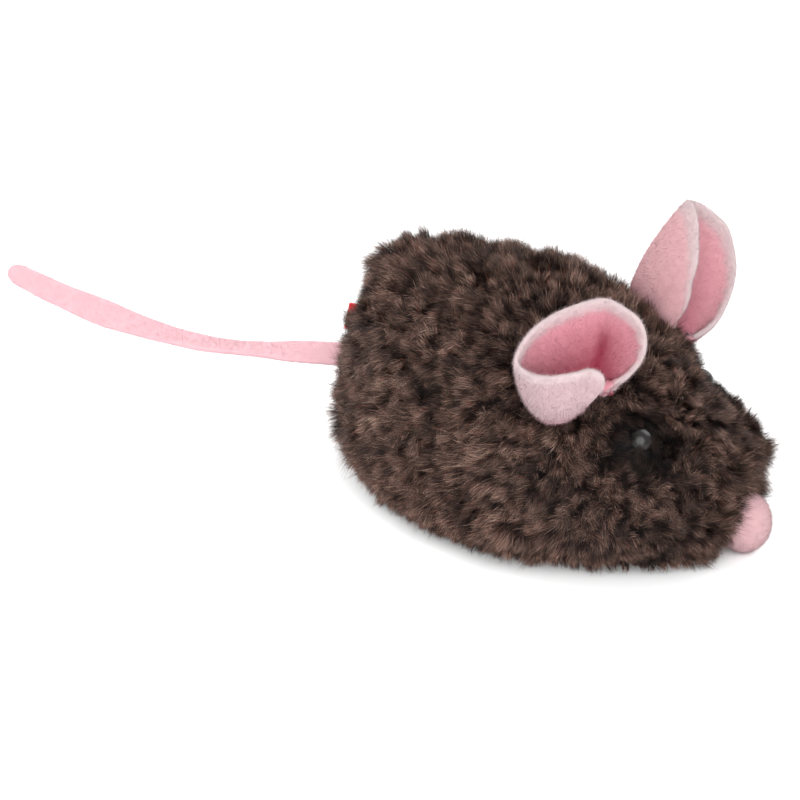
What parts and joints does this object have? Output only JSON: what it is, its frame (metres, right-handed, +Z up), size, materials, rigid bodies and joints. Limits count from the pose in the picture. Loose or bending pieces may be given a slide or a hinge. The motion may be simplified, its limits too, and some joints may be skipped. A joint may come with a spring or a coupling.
{
  "type": "clockwork mouse",
  "caption": "Plush wind-up mouse: a brown fur cover with pink felt ears, nose and tail over a clockwork chassis with drive wheels, a front roller and a side key.",
  "frame": {"origin": "on the floor under the middle of the fur body, at the mount floor_contact", "axes": "+X towards the nose, +Y towards the mouse's own left (the key side), +Z up"},
  "size_m": [0.2066, 0.0838, 0.0686],
  "materials": {
    "fur": "short shaggy plush, brown with pale tips",
    "pink_felt": "thick soft felt",
    "eye_black": "polished black bead",
    "white_plastic": "moulded",
    "red_tape": "woven tape, blank",
    "base_plastic": "moulded black",
    "backing": "turned-in backing cloth",
    "elastic": "flat elastic",
    "steel": "pressed and turned steel",
    "spring_steel": "blued spring strip",
    "gear_brass": "stamped",
    "key_steel": "nickel plated",
    "wheel_plastic": "moulded",
    "tyre_rubber": "plain rubber band",
    "filling": "polyester fibre fill"
  },
  "bodies": {
    "chassis": {"cover_left": "fur", "cover_right": "fur", "ear_left": "pink_felt", "ear_right": "pink_felt", "eye_left": "eye_black", "eye_right": "eye_black", "eye_washer_left": "white_plastic", "eye_washer_right": "white_plastic", "tail": "pink_felt", "nose": "pink_felt", "label": "red_tape", "base_plate": "base_plastic", "motor_cover": "base_plastic", "hem": "backing", "hem_elastic": "elastic", "side_plate_left": "steel", "side_plate_right": "steel", "pillars": "steel", "foot_screws": "steel", "mainspring": "spring_steel", "back_stuffing": "filling", "head_stuffing": "filling"},
    "great_wheel": {"great_wheel": "gear_brass", "click_pin": "steel", "click_spring": "spring_steel"},
    "winding_arbor": {"winding_arbor": "steel", "ratchet_wheel": "steel", "key": "key_steel"},
    "click": {"click": "gear_brass"},
    "lay_shaft": {"lay_arbor": "steel", "lay_pinion": "steel", "lay_wheel": "gear_brass"},
    "drive_axle": {"drive_axle": "steel", "axle_pinion": "steel", "wheel_left": "wheel_plastic", "wheel_right": "wheel_plastic", "tyre_left": "tyre_rubber", "tyre_right": "tyre_rubber"},
    "front_roller": {"front_roller": "wheel_plastic", "front_axle": "steel"}
  },
  "joints": [
    {"name": "run", "type": "hinge", "parent": "chassis", "child": "great_wheel", "pos_m": [-0.01706, 0, 0.02853], "axis": [0, 1, 0], "continuous": true, "deforming": ["mainspring"]},
    {"name": "wind", "type": "hinge", "parent": "great_wheel", "child": "winding_arbor", "pos_m": [-0.01706, 0, 0.02853], "axis": [0, -1, 0], "range_deg": [0, 1800], "deforming": ["mainspring"]},
    {"name": "click_drop", "type": "hinge", "parent": "great_wheel", "child": "click", "pos_m": [-0.01083, 0, 0.03213], "axis": [0, -1, 0], "range_deg": [0, 8]},
    {"name": "lay_turn", "type": "hinge", "parent": "chassis", "child": "lay_shaft", "pos_m": [-0.00751, 0, 0.01899], "axis": [0, 1, 0], "continuous": true},
    {"name": "axle_turn", "type": "hinge", "parent": "chassis", "child": "drive_axle", "pos_m": [-0.016, 0, 0.0105], "axis": [0, 1, 0], "continuous": true},
    {"name": "front_turn", "type": "hinge", "parent": "chassis", "child": "front_roller", "pos_m": [0.028, 0, 0.005], "axis": [0, 1, 0], "continuous": true}
  ],
  "couplings": [
    {"joint": "lay_turn", "follows": "run", "ratio": -3.5},
    {"joint": "axle_turn", "follows": "run", "ratio": 10.5}
  ]
}
